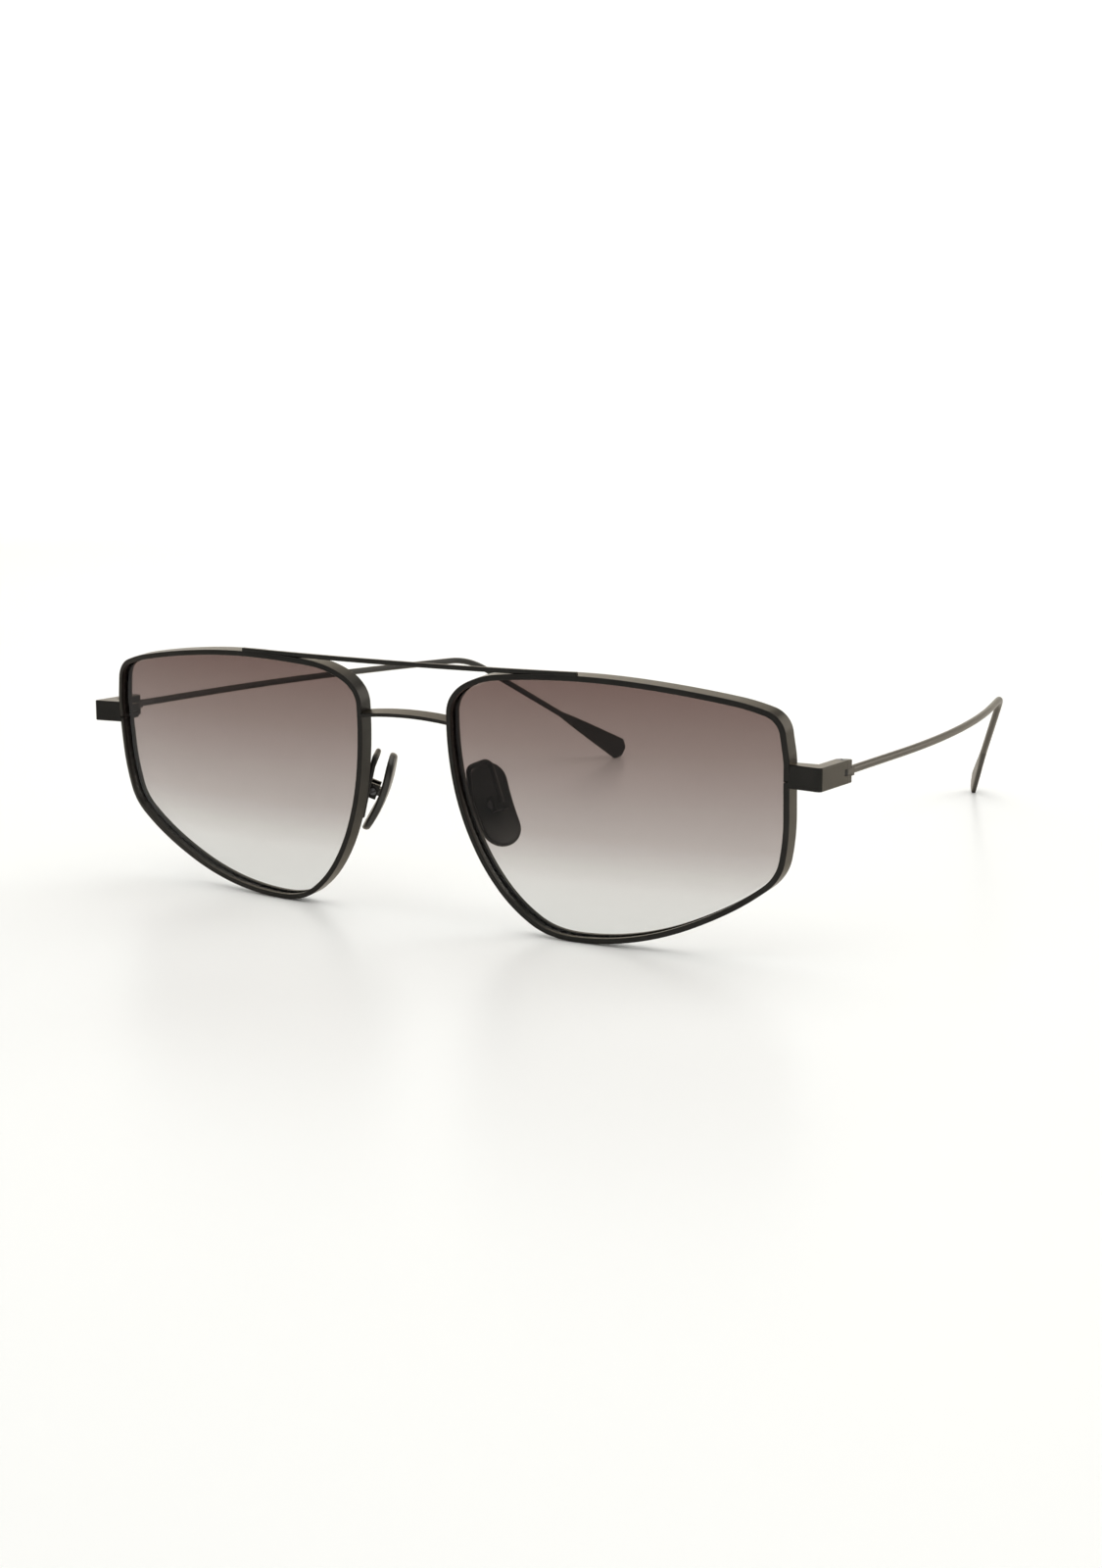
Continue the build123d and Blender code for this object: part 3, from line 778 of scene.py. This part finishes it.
# ---------------------------------------------------------- brow bar and bridge
def arched(half_length, end_top, rise, thickness, front, depth, edge, overrun, tilt):
    """A strip whose middle line is a circular arc: its section, across the
    thickness and back, is a rounded rectangle that rises by tilt towards the back.
    The arc through the ends and the risen middle has the radius
    (half_length² + rise²) / (2 rise), and goes on by overrun at each end."""
    radius = (half_length ** 2 + rise ** 2) / (2 * rise)
    x = np.linspace(-half_length - overrun, half_length + overrun, STRIP_SECTIONS)
    drop = np.sign(rise) * (abs(radius) - np.sqrt(radius ** 2 - x ** 2))
    z = end_top - thickness / 2 + rise - drop + tan(tilt) * depth / 2
    centres = np.stack([x, x * 0 + front + depth / 2, z], -1)
    along = unit(np.gradient(centres, axis=0))
    upward = np.stack([-along[:, 2], along[:, 0] * 0, along[:, 0]], -1)
    back = np.broadcast_to([0.0, 1.0, tan(tilt)], centres.shape)
    corners = np.array([(-1, -1), (1, -1), (1, 1), (-1, 1)]) * (thickness / 2, depth / 2)
    section = rounded_profile(corners, [edge] * 4)
    points, faces = swept(section, centres, upward, back, edge / 2)
    return [(lean(points), faces)]


def brow_bar():
    """The bar along the tops of both eyewires. It sags a little in the middle."""
    return arched(
        half_length=BROW_HALF_LENGTH,
        end_top=EYE_TALL + BROW_HEIGHT,
        rise=-BROW_SAG,
        thickness=BROW_HEIGHT + BROW_SEAT,
        front=bowl(BROW_HALF_LENGTH - BROW_SEAT, EYE_TALL, 0),
        depth=BROW_DEPTH,
        edge=BROW_EDGE,
        overrun=0,
        tilt=0,
    )


def bridge():
    """The strip between the nose sides of the eyewires. It rises in the middle."""
    level = EYE_TALL - BRIDGE_BELOW_TOP
    return arched(
        half_length=NOSE_EDGE,
        end_top=level + BRIDGE_THICKNESS,
        rise=BRIDGE_RISE,
        thickness=BRIDGE_THICKNESS,
        front=bowl(NOSE_EDGE, level, 0),
        depth=BRIDGE_DEPTH,
        edge=BRIDGE_EDGE,
        overrun=BRIDGE_OVERRUN,
        tilt=BRIDGE_TILT,
    )


# --------------------------------------------------------------------- temples
def hinge_place():
    """Centre of the left hinge, and the turn of its frame: X outwards, Z up its
    axis."""
    joint = JOINTS["temple_left_fold"]
    return np.array(joint["pos_m"]), turned("X", -TEMPLE_DROP)


def superellipse(half_thickness, half_width, squareness, count):
    """Section outlines, one row each: |x/a|^n + |y/b|^n = 1."""
    angle = np.linspace(0, 2 * pi, count, endpoint=False)[None]
    power = 2 / squareness
    x = half_thickness * np.sign(np.cos(angle)) * abs(np.cos(angle)) ** power
    y = half_width * np.sign(np.sin(angle)) * abs(np.sin(angle)) ** power
    return x, y


def paddle_sides(along, twist):
    """Unit vectors across the thickness and the width of a paddle that runs along a
    direction: outwards and square to it, then both turned about it by twist."""
    outwards = unit(np.array([1.0, 0, 0]) - along * along[:, :1])
    downwards = np.cross(along, outwards)
    thin = outwards * cos(twist) + downwards * sin(twist)
    wide = downwards * cos(twist) - outwards * sin(twist)
    return thin, wide


def temple_bends(origin, turn):
    """The bend behind the ear and the tip of the left temple, from the hinge and in
    its frame. The tip's lowest corner is as far up as half the paddle's width and
    thickness and its clipped corner reach down, less the flat that it stands on."""
    bend = np.array([-BEND_IN, BEND_REACH, 0])
    bend_height = (origin + turn @ bend)[2]
    run = unit(np.array([BEND_IN - TIP_IN, TIP_REACH - BEND_REACH, -bend_height]))
    thin, wide = paddle_sides(run[None], PADDLE_TWIST)
    tip = origin + (-TIP_IN, TIP_REACH, 0)
    tip[2] = (
        PADDLE_WIDTH / 2 * abs(wide[0, 2])
        + PADDLE_THICKNESS / 2 * abs(thin[0, 2])
        + PADDLE_CORNER * run[2]
        - TIP_FLAT
    )
    return bend, turn.T @ (tip - origin)


def temple_centres(start, bend, tip):
    """Middle line of the temple, with closer points where the paddle's corners are
    clipped and where its tip is rounded."""
    centres = rounded_path(
        [(WIRE_OUT, start, 0), (WIRE_OUT, SWEEP_REACH, 0), bend, tip],
        [SWEEP_RADIUS, BEND_RADIUS],
        WIRE_STEP,
    )
    left = np.linalg.norm(tip - centres, axis=1)
    rounding = np.sin(np.linspace(0, pi / 2, TIP_SECTIONS)[1:])
    to_tip = np.concatenate([
        np.linspace(CLIP_FROM, TIP_ROUND, CLIP_SECTIONS),
        TIP_ROUND * (1 - rounding),
    ])
    close = tip - unit(tip - bend) * to_tip[:, None]
    return np.concatenate([centres[left > WIRE_UP_TO], close])


def temple_section(centres, tip):
    """Outlines of the temple across its thickness and its width: a circle that
    becomes a flat superellipse over the length of the paddle, no wider than the
    clipped corners leave, and shrinks along a quarter circle at the tip."""
    left = np.linalg.norm(tip - centres, axis=1)[:, None]
    flatness = np.clip(1 - left / PADDLE_LENGTH, 0, 1)
    flatness[centres[:, 1] < BEND_REACH] = 0
    half_width = between(WIRE_RADIUS, PADDLE_WIDTH / 2, flatness ** PADDLE_WIDENS)
    half_width = np.minimum(half_width, PADDLE_WIDTH / 2 - PADDLE_CORNER + left)
    thinness = np.clip(flatness / PADDLE_THINS_BY, 0, 1)
    half_thickness = between(WIRE_RADIUS, PADDLE_THICKNESS / 2, thinness)
    squareness = np.clip(flatness / PADDLE_SQUARES_BY, 0, 1)
    power = between(CIRCLE_POWER, PADDLE_POWER, squareness)
    close = np.clip(left / TIP_ROUND, 0, 1)
    shrunk = 1 - TIP_SHRINK * (1 - np.sqrt(1 - (1 - close) ** 2))
    return superellipse(half_thickness * shrunk, half_width * shrunk, power, WIRE_SIDES)


def between(first, last, share):
    """The value a share of the way from first to last."""
    return first + (last - first) * share


def temple():
    """A round wire that closes in on the head, turns down behind the ear and
    flattens into a paddle with clipped corners. A point is its section's centre
    plus the outline's two coordinates times the paddle's unit vectors, and none is
    below the ground, so that the tip is cut level where it stands."""
    origin, turn = hinge_place()
    bend, tip = temple_bends(origin, turn)
    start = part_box("temple_barrel_left")[1].y - origin[1] - WIRE_IN_BARREL
    centres = temple_centres(start, bend, tip)
    x, y = temple_section(centres, tip)
    thin, wide = paddle_sides(unit(np.gradient(centres, axis=0)), PADDLE_TWIST)
    sides = x[..., None] * thin[:, None] + y[..., None] * wide[:, None]
    rings = centres[:, None] + sides
    first, last = sides[:1] * 0 + centres[0], sides[:1] * 0 + centres[-1]
    points = origin + np.concatenate([first, rings, last]) @ turn.T
    points[..., 2] = np.maximum(points[..., 2], 0)
    return [grid(points)]


# ------------------------------------------------------------------- nose pads
def slot_outline(half_width, half_length, count):
    """Evenly spaced points round a slot with round ends: at a length along it, a
    point is on a half circle or on a straight side, taken from one end's top."""
    straight_side = 2 * (half_length - half_width)
    half_round = pi * half_width
    lap = 2 * (straight_side + half_round)
    length = np.arange(count) * lap / count
    half = length % (lap / 2)
    on_end = half < half_round
    angle = np.where(on_end, half / half_width, pi)
    x = half_width * np.cos(angle)
    y = half_width * np.sin(angle) + straight_side / 2
    y = np.where(on_end, y, straight_side / 2 - (half - half_round))
    side = np.where(length < lap / 2, 1.0, -1.0)
    return np.stack([x * side, y * side], -1)


def pad_place():
    """Middle of the left pad's back, and the turn of its frame: X from the nose
    side to the pivot, Z up the pad."""
    splayed = turned("Y", -PAD_FLARE) @ turned("Z", -PAD_SPLAY)
    turn = LEAN @ turned("X", -PAD_TILT) @ splayed
    pivot = np.array(JOINTS["pad_left_rock"]["pos_m"])
    return pivot - turn @ np.array([PAD_PIVOT, 0, 0]), turn


def nose_pad():
    """A domed oval: the outline is a slot with round ends, a ring is a share of it,
    and the face and the back are pieces of two spheres joined by a half-round edge."""
    origin, turn = pad_place()
    outline = slot_outline(PAD_WIDTH / 2, PAD_LENGTH / 2, PAD_POINTS)
    tangent = np.roll(outline, -1, 0) - np.roll(outline, 1, 0)
    outward = unit(np.stack([tangent[:, 1], -tangent[:, 0]], -1))
    inner = outline - outward * PAD_EDGE

    def dome(flat, depth):
        """A ring on the sphere that lies depth behind the nose-side face."""
        reach = (PAD_CURVE - depth) ** 2 - np.sum(flat ** 2, 1)
        x = PAD_CURVE - PAD_THICKNESS - np.sqrt(reach)
        return np.stack([x, flat[:, 0], flat[:, 1]], -1)

    face_shares = np.sqrt(np.linspace(0, 1, PAD_RINGS))
    rings = [dome(inner * share, 0) for share in face_shares]
    for angle in np.linspace(0, pi, PAD_EDGE_RINGS)[1:-1]:
        flat = inner + outward * PAD_EDGE * sin(angle)
        rings.append(dome(flat, PAD_THICKNESS / 2 * (1 - cos(angle))))
    rings += [dome(inner * share, PAD_THICKNESS) for share in face_shares[::-1]]
    return [grid(origin + np.array(rings) @ turn.T)]


def behind_eyewire(below_top, gap):
    """Centre of the arm behind the nose side of the eyewire, on the upright front."""
    height = EYE_TALL - below_top
    x = nose_side(height) + RIM_WALL / 2
    back = bowl(x, height, 0) + RIM_DEPTH + ARM_RADIUS + gap
    return np.array([x, back, height])


def pad_arm():
    """A round wire: up behind the eyewire, over in a loop and down to the pad box."""
    origin, turn = pad_place()
    rise = PAD_BELOW_TOP - ARM_LOOP_BELOW_TOP
    loop_top = origin + turn @ np.array([ARM_ON_BOX, 0, rise])
    loop_foot = origin + turn @ np.array([ARM_ON_BOX, 0, -ARM_RADIUS])
    upright = rounded_path(
        [
            behind_eyewire(ARM_FOOT_BELOW_TOP, -ARM_SEAT),
            behind_eyewire(ARM_FOOT_BELOW_TOP - ARM_FOOT_LENGTH, -ARM_SEAT),
            behind_eyewire(ARM_LOOP_BELOW_TOP, ARM_BEND_RADIUS),
            stand_up(loop_top),
            stand_up(loop_foot),
        ],
        [ARM_BEND_RADIUS] * 3,
        ARM_STEP,
    )
    centres = lean(upright)
    tangent = unit(np.gradient(centres, axis=0))
    outwards = unit(np.array([1.0, 0, 0]) - tangent * tangent[:, :1])
    wide = np.cross(tangent, outwards)
    x, y = superellipse(ARM_RADIUS, ARM_RADIUS, CIRCLE_POWER, ARM_SIDES)
    circle = np.stack([x[0], y[0]], -1)
    return [swept(circle, centres, outwards, wide, ARM_END)]


# ------------------------------------------------------------- small CAD pieces
def softened(node, body, slot, edge):
    """A finished copy of a small machined CAD piece, with its triangles merged into
    flats and its sharp edges rounded."""
    copy = frame["nodes"][node].data.copy()
    shape = bmesh.new()
    shape.from_mesh(copy)
    bmesh.ops.remove_doubles(shape, verts=shape.verts, dist=SAME_PLACE * 10)
    bmesh.ops.dissolve_limit(
        shape, angle_limit=FLAT_WITHIN, verts=shape.verts, edges=shape.edges
    )
    shape.to_mesh(copy)
    shape.free()
    copy.shade_smooth()
    made = finished(node, body, slot, copy)
    bevel = made.modifiers.new("edges", "BEVEL")
    bevel.width, bevel.segments = edge, BEVEL_STEPS
    bevel.limit_method, bevel.angle_limit = "ANGLE", SHARP_FROM
    flats = made.modifiers.new("flats", "WEIGHTED_NORMAL")
    flats.weight = FLATS_RULE


def slotted_screw(screw, foot, length, origin, turn):
    """A screw along Z of the frame turn at origin, with its head up from foot. The
    head is a row of sections across X: at x its half width is sqrt(R² - x²), and
    its top drops inside the slot. The shank is a plain round bar below."""
    radius, height, half_slot = screw.head_radius, screw.head_height, screw.slot_width / 2
    slot_side = np.arcsin(half_slot / radius)
    outer = radius * np.sin(np.linspace(slot_side, pi / 2, SCREW_SECTIONS))
    x = np.concatenate([-outer[::-1], [-half_slot, half_slot], outer])[:, None]
    depth = np.zeros(x.shape)
    depth[len(outer):len(outer) + 2] = height * SCREW_SLOT
    half = np.sqrt(np.maximum(radius ** 2 - x ** 2, LEAST_HALF ** 2))
    corner = np.minimum(height * SCREW_EDGE, half * SCREW_EDGE_MOST)
    angle = np.linspace(0, pi / 2, SCREW_EDGE_POINTS)
    rim_y = half - corner + corner * np.cos(angle)
    rim_z = height - depth - corner + corner * np.sin(angle)
    rim_z += SCREW_DOME * height * (1 - (x / radius) ** 2) * (angle / angle[-1])
    y = np.concatenate([half, rim_y, -rim_y[:, ::-1], -half], 1)
    z = np.concatenate([half * 0, rim_z, rim_z[:, ::-1], half * 0], 1)
    head = np.stack([np.broadcast_to(x, y.shape), y, z + foot], -1)
    head = np.concatenate([head[:1] * (1, 0, 1), head, head[-1:] * (1, 0, 1)])
    around = np.linspace(0, 2 * pi, SHANK_SIDES, endpoint=False)
    circle = np.stack([np.cos(around), np.sin(around), around * 0], -1)
    end = foot - length
    bar = [(0, foot), (screw.shank_radius, foot), (screw.shank_radius, end), (0, end)]
    shank = np.array([circle * wide + (0, 0, level) for wide, level in bar])
    place = (turn @ turned("Z", screw.turn)).T
    surfaces = grid(head), grid(shank)
    return [(origin + points @ place, faces) for points, faces in surfaces]


def hinge_screw():
    origin, turn = hinge_place()
    return slotted_screw(HINGE_SCREW, HINGE_SCREW_FOOT, HINGE_SCREW_LENGTH, origin, turn)


def closing_screw():
    low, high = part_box("closing_screw_left")
    foot_middle = np.array([(low.x + high.x) / 2, (low.y + high.y) / 2, low.z])
    length = high.z - low.z - CLOSING_SCREW.head_height
    return slotted_screw(CLOSING_SCREW, length, length, foot_middle, np.eye(3))


def pad_screw():
    origin, turn = pad_place()
    pivot = origin + turn @ np.array([PAD_PIVOT, 0, 0])
    head_on_nose_side = turn @ turned("X", pi / 2)
    return slotted_screw(
        PAD_SCREW, PAD_BOX_HALF, 2 * PAD_BOX_HALF, pivot, head_on_nose_side
    )


# --------------------------------------------------------------- the whole pair
lens_surfaces, lens_bevel = lens()
# Name, body, material slot, surfaces, mask of the bevel
MADE = [
    ("eyewire", "front", "front_metal", eyewire(), None),
    ("lens", "front", "tinted_lens", lens_surfaces, lens_bevel),
    ("hinge_screw", "front", "screw_metal", hinge_screw(), None),
    ("closing_screw", "front", "screw_metal", closing_screw(), None),
    ("pad_screw", "front", "screw_metal", pad_screw(), None),
    ("pad_arm", "front", "front_metal", pad_arm(), None),
    ("temple", "temple", "temple_metal", temple(), None),
    ("nose_pad", "pad", "pad_metal", nose_pad(), None),
]
# Name, body, material slot, rounding of the edges
SOFTENED = [
    ("end_piece", "front", "front_metal", 0.09 * MM),
    ("upper_closing_block", "front", "front_metal", 0.1 * MM),
    ("lower_closing_block", "front", "front_metal", 0.1 * MM),
    ("pad_box", "front", "front_metal", 0.1 * MM),
    ("temple_barrel", "temple", "temple_metal", 0.09 * MM),
    ("pad_lug", "pad", "pad_metal", 0.05 * MM),
]


def body_on(body, side):
    """The front is one body; temples and pads have one on each side."""
    return body if body == "front" else f"{body}_{side}"


for side, sign in SIDES:
    for name, body, slot, surfaces, bevel in MADE:
        surfaces = mirrored(surfaces, sign)
        piece(f"{name}_{side}", body_on(body, side), slot, surfaces, bevel)
    for name, body, slot, edge in SOFTENED:
        softened(f"{name}_{side}", body_on(body, side), slot, edge)
piece("brow_bar", "front", "front_metal", brow_bar())
piece("bridge", "front", "front_metal", bridge())


# ------------------------------------------------------------ studio and camera
def floor_surface():
    """A pale floor, hardly clouded."""
    finish = Finish("studio_floor")
    clouds = finish.noise(finish.place(), FLOOR_CLOUD)
    colour = finish.spread(clouds, (0.9, 0.9, 0.88, 1), (0.92, 0.92, 0.9, 1))
    return finish.surface(Base_Color=colour, Roughness=0.32, IOR=1.3)


def studio_floor():
    """A sheet that runs level from well in front of the object to far behind it,
    and turns up there in a quarter circle into a backdrop."""
    angle = np.linspace(0, pi / 2, FLOOR_BEND_POINTS)
    wall = FLOOR_FAR + FLOOR_BEND
    y = np.concatenate([[FLOOR_NEAR], FLOOR_FAR + FLOOR_BEND * np.sin(angle), [wall]])
    z = np.concatenate([[0.0], FLOOR_BEND * (1 - np.cos(angle)), [BACKDROP_TOP]])
    x = np.array([-FLOOR_HALF_WIDTH, FLOOR_HALF_WIDTH])[:, None]
    points = np.stack(np.broadcast_arrays(x, y[None], z[None]), -1).reshape(-1, 3)
    mesh = bpy.data.meshes.new("studio_floor")
    faces = grid_faces(2, len(y), around=False)[:, ::-1]
    mesh.from_pydata(points.tolist(), [], faces.tolist())
    mesh.shade_smooth()
    mesh.materials.append(floor_surface())
    made = linked("studio_floor", mesh)
    made.location.z = -FLOOR_GAP
    made.rotation_euler.z = CAMERA_AZIMUTH


def softbox(name, place, target, size, power):
    """A square area lamp at place, turned to face target."""
    to_world = Matrix.Rotation(CAMERA_AZIMUTH, 3, "Z")
    place, target = to_world @ Vector(place), to_world @ Vector(target)
    lamp = bpy.data.lights.new(name, "AREA")
    lamp.size, lamp.energy, lamp.color = size, power, WARM_WHITE
    made = linked(name, lamp)
    made.location = place
    made.rotation_euler = (target - place).to_track_quat("-Z", "Y").to_euler()


def world_light():
    """A pale even light from all round."""
    world = bpy.data.worlds.new("studio")
    world.use_nodes = True
    inputs = world.node_tree.nodes["Background"].inputs
    inputs["Color"].default_value = WORLD_COLOUR
    inputs["Strength"].default_value = WORLD_STRENGTH
    bpy.context.scene.world = world


def long_lens_camera():
    """A long lens that looks down a little on the wearer's left side. Its back is
    the direction from the target at the camera's azimuth and elevation, and its
    right and up are turned about that by the roll."""
    azimuth, elevation, roll = CAMERA_AZIMUTH, CAMERA_ELEVATION, CAMERA_ROLL
    level_back = Vector((sin(azimuth), -cos(azimuth), 0))
    back = level_back * cos(elevation) + Vector((0, 0, sin(elevation)))
    right = Vector((cos(azimuth), sin(azimuth), 0))
    up = back.cross(right)
    turned_right = right * cos(roll) + up * sin(roll)
    turned_up = up * cos(roll) - right * sin(roll)
    camera = bpy.data.cameras.new("camera")
    camera.lens, camera.sensor_width = FOCAL_LENGTH, SENSOR_WIDTH
    camera.clip_start = NEAREST_SEEN
    made = linked("camera", camera)
    turn = Matrix((turned_right, turned_up, back)).transposed().to_4x4()
    place = CAMERA_TARGET + back * CAMERA_DISTANCE
    made.matrix_world = Matrix.Translation(place) @ turn
    bpy.context.scene.camera = made


studio_floor()
for lamp_sizes in LAMPS:
    softbox(*lamp_sizes)
world_light()
bpy.context.scene.view_settings.view_transform = "Standard"
long_lens_camera()
